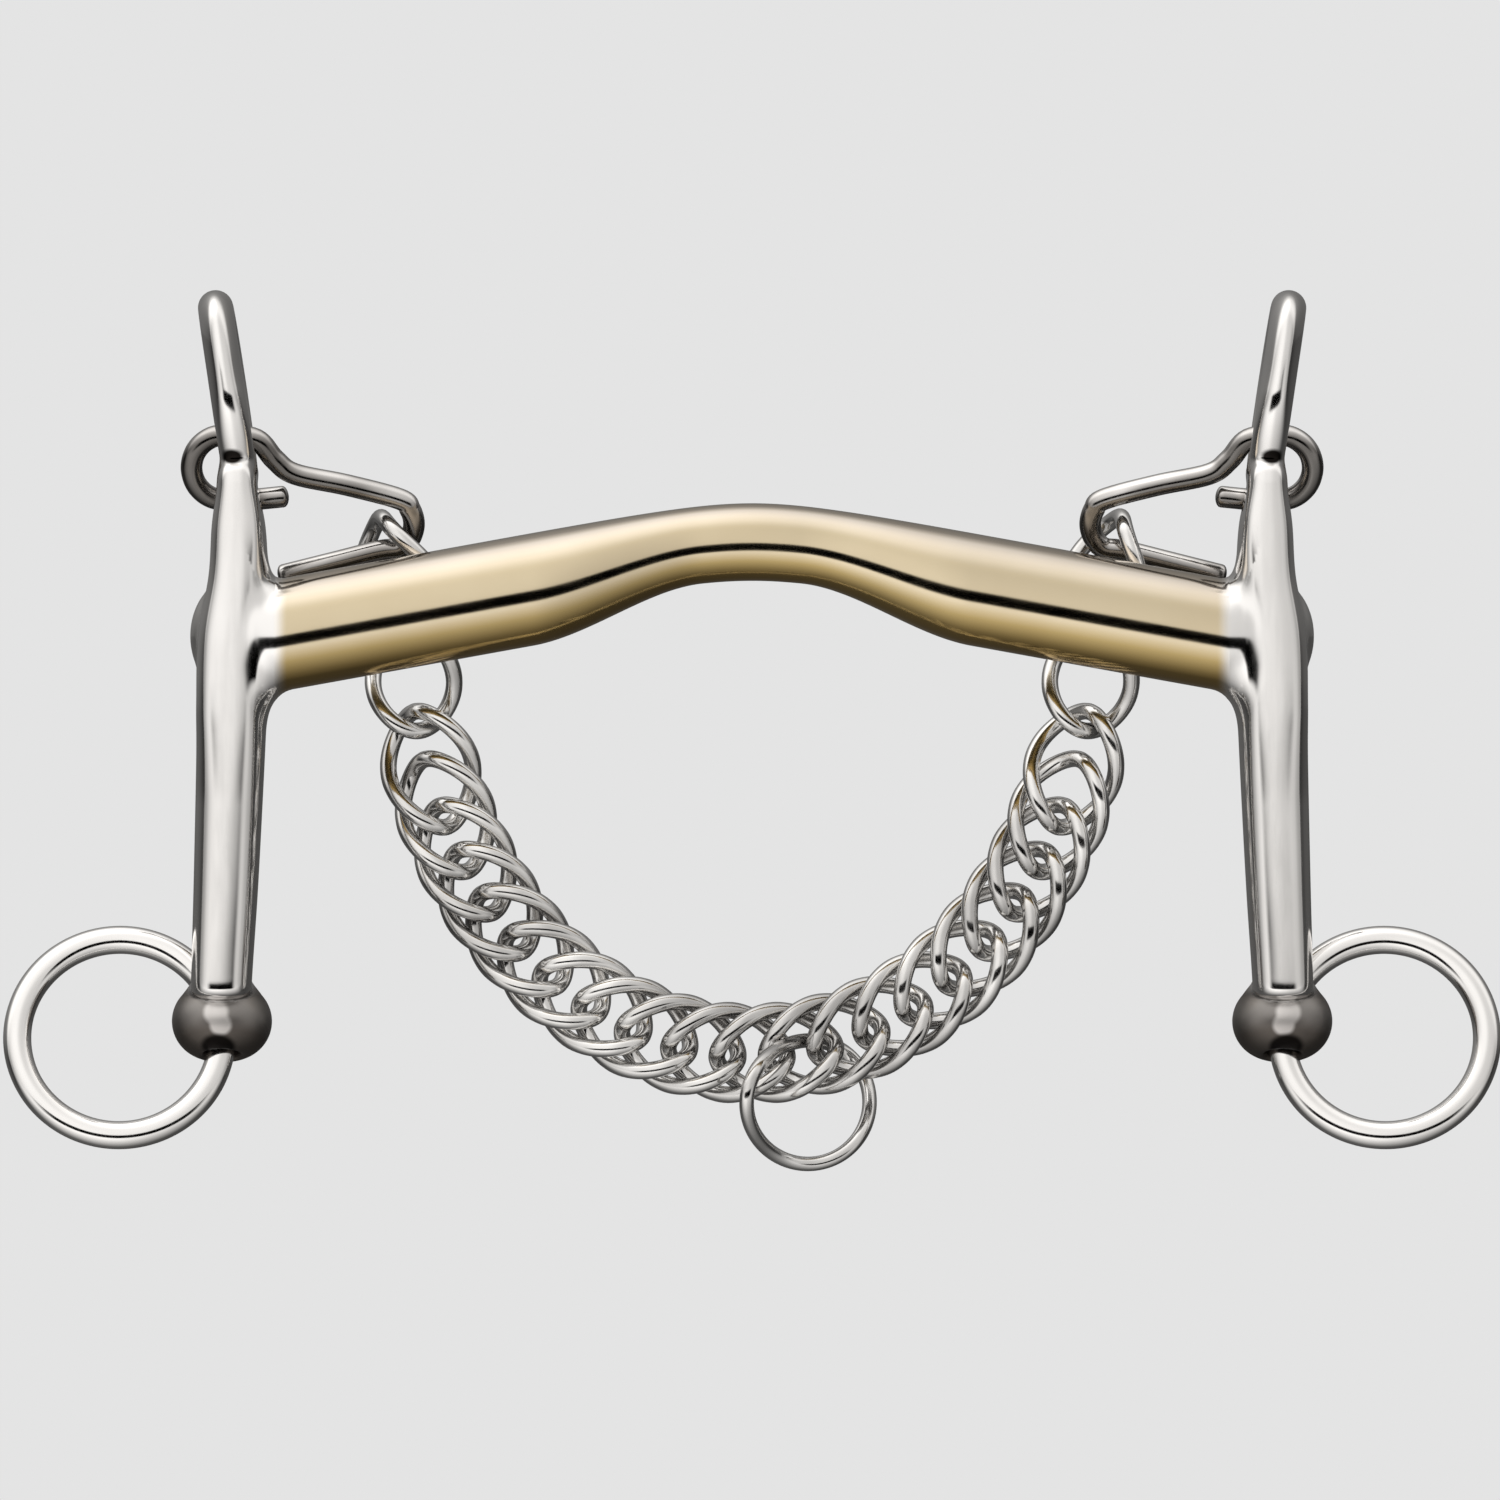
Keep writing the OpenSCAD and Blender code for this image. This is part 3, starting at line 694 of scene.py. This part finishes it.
rightHook = makeHook()
leftHook = mirrored("leftCurbHookLook", rightHook)
fit(rightHook, "right_curb_hook", "right_curb_hook", hookSteel)
fit(leftHook, "left_curb_hook", "left_curb_hook", hookSteel)
print("stage: curb hooks made")


# Studio: pale room, a light tent that only the metal sees, a floor below, soft lamp and camera

studio = {
    "room": 0.776, "floorZ": -0.2, "floorR": 1.5, "floorSides": 96, "floorScale": 40, "floorDetail": 4,
    "floorTones": [(0.3, 0.77), (0.7, 0.79)], "floorRough": 0.9,
    "lampSize": 0.8, "lampPower": 4, "lampPlace": (-0.4, -0.5, 1.0),
    "sensor": 36, "lens": 600, "frameWidth": 0.21246, "frameMidX": -0.0003, "frameMidZ": -0.01615,
    "tentR": 3.0, "tentSides": 96, "tentRings": 48,
    # the tent's light round the X axis, from straight back below, over the front, to straight back above
    "rise": [(-180, 0.1), (-140, 0.08), (-112, 0.1), (-94, 0.26), (-75, 0.5), (-61, 0.68), (-47, 0.9),
             (-35, 1.06), (-27, 1.16), (-1, 0.98), (15, 1.0), (41, 1.02), (53, 1.12), (68, 1.4), (83, 1.5),
             (94, 1.42), (110, 1.12), (120, 0.68), (131, 0.36), (150, 0.25), (180, 0.14)],
    # from left to right, as the sine of the side angle
    "across": [(-1.0, 0.32), (-0.97, 0.5), (-0.92, 0.74), (-0.78, 0.95), (-0.6, 1.07), (-0.37, 1.1),
               (-0.14, 1.08), (0.0, 1.0), (0.12, 0.9), (0.3, 0.78), (0.54, 0.72), (0.75, 0.7), (0.9, 0.62),
               (1.0, 0.36)],
    # dark gap below the front panel, which closes to the sides
    "gap": [(-27, 0.0), (-24, 1.0), (-4, 1.0), (-1, 0.0)], "gapFrom": 0.56, "gapTo": 0.84,
    "warm": (1.0, 0.985, 0.965)}


def makeTent():
    bpy.ops.mesh.primitive_uv_sphere_add(
        segments=studio["tentSides"], ring_count=studio["tentRings"], radius=studio["tentR"])
    tent = bpy.context.object
    tent.name = "lightTent"
    material = bpy.data.materials.new("lightTent")
    material.use_nodes = True
    nodes, links = material.node_tree.nodes, material.node_tree.links
    nodes.clear()
    place = nodes.new("ShaderNodeTexCoord")
    normal = nodes.new("ShaderNodeVectorMath")
    normal.operation = "NORMALIZE"
    links.new(place.outputs["Object"], normal.inputs[0])
    split = nodes.new("ShaderNodeSeparateXYZ")
    links.new(normal.outputs["Vector"], split.inputs["Vector"])
    front = math2(nodes, links, "MULTIPLY", split.outputs["Y"], -1)
    turn = math2(nodes, links, "ARCTAN2", split.outputs["Z"], front)
    riseAt = mapTo(nodes, links, turn, -math.pi, math.pi, "LINEAR")
    acrossAt = mapTo(nodes, links, split.outputs["X"], -1, 1, "LINEAR")
    # a ramp's colours end at 1, so both hold half of each value and the glow makes up for it
    rise = ramp(nodes, [((a + 180) / 360, v / 2) for a, v in studio["rise"]])
    across = ramp(nodes, [((a + 1) / 2, v / 2) for a, v in studio["across"]])
    gap = ramp(nodes, [((a + 180) / 360, v) for a, v in studio["gap"]])
    for value, node in ((riseAt, rise), (acrossAt, across), (riseAt, gap)):
        links.new(value, node.inputs["Fac"])
    both = mixColour(nodes, links, 1, rise.outputs["Color"], across.outputs["Color"], "MULTIPLY")
    aside = math2(nodes, links, "ABSOLUTE", split.outputs["X"])
    near = mapTo(nodes, links, aside, studio["gapTo"], studio["gapFrom"])
    share = math2(nodes, links, "MULTIPLY", gap.outputs["Color"], near)
    lit = mixColour(nodes, links, share, both, (0.0, 0.0, 0.0))
    glow = nodes.new("ShaderNodeEmission")
    glow.inputs["Strength"].default_value = 2 * 2
    links.new(mixColour(nodes, links, 1, lit, studio["warm"], "MULTIPLY"), glow.inputs["Color"])
    out = nodes.new("ShaderNodeOutputMaterial")
    links.new(glow.outputs["Emission"], out.inputs["Surface"])
    tent.data.materials.append(material)
    tent.visible_camera = tent.visible_diffuse = tent.visible_shadow = False
    return tent


def makeFloor():
    bpy.ops.mesh.primitive_circle_add(vertices=studio["floorSides"], radius=studio["floorR"],
                                      fill_type="NGON", location=(0, 0, studio["floorZ"]))
    floor = bpy.context.object
    floor.name = "floor"
    material, nodes, links, shader = newMaterial("paleFloor")
    place = nodes.new("ShaderNodeTexCoord")
    mottle = noise(nodes, links, place, studio["floorScale"], studio["floorDetail"])
    tone = ramp(nodes, studio["floorTones"])
    links.new(mottle.outputs["Fac"], tone.inputs["Fac"])
    links.new(tone.outputs["Color"], shader.inputs["Base Color"])
    shader.inputs["Roughness"].default_value = studio["floorRough"]
    floor.data.materials.append(material)
    floor.visible_glossy = False
    return floor


world = bpy.data.worlds.new("paleRoom")
scene.world = world
world.use_nodes = True
room = world.node_tree.nodes["Background"]
room.inputs["Color"].default_value = (studio["room"], studio["room"], studio["room"], 1)

lampData = bpy.data.lights.new("softLamp", "AREA")
lampData.size = studio["lampSize"]
lampData.energy = studio["lampPower"]
lamp = bpy.data.objects.new("softLamp", lampData)
lamp.location = studio["lampPlace"]
lamp.rotation_euler = (-Vector(studio["lampPlace"])).to_track_quat("-Z", "Y").to_euler()
lamp.visible_glossy = False
scene.collection.objects.link(lamp)

makeTent()
makeFloor()

cameraData = bpy.data.cameras.new("camera")
cameraData.sensor_width = studio["sensor"]
cameraData.lens = studio["lens"]
camera = bpy.data.objects.new("camera", cameraData)
far = studio["frameWidth"] * studio["lens"] / studio["sensor"]
camera.location = (studio["frameMidX"], -far, studio["frameMidZ"])
camera.rotation_euler = (math.pi / 2, 0, 0)
scene.collection.objects.link(camera)
scene.camera = camera
print("stage: studio made")
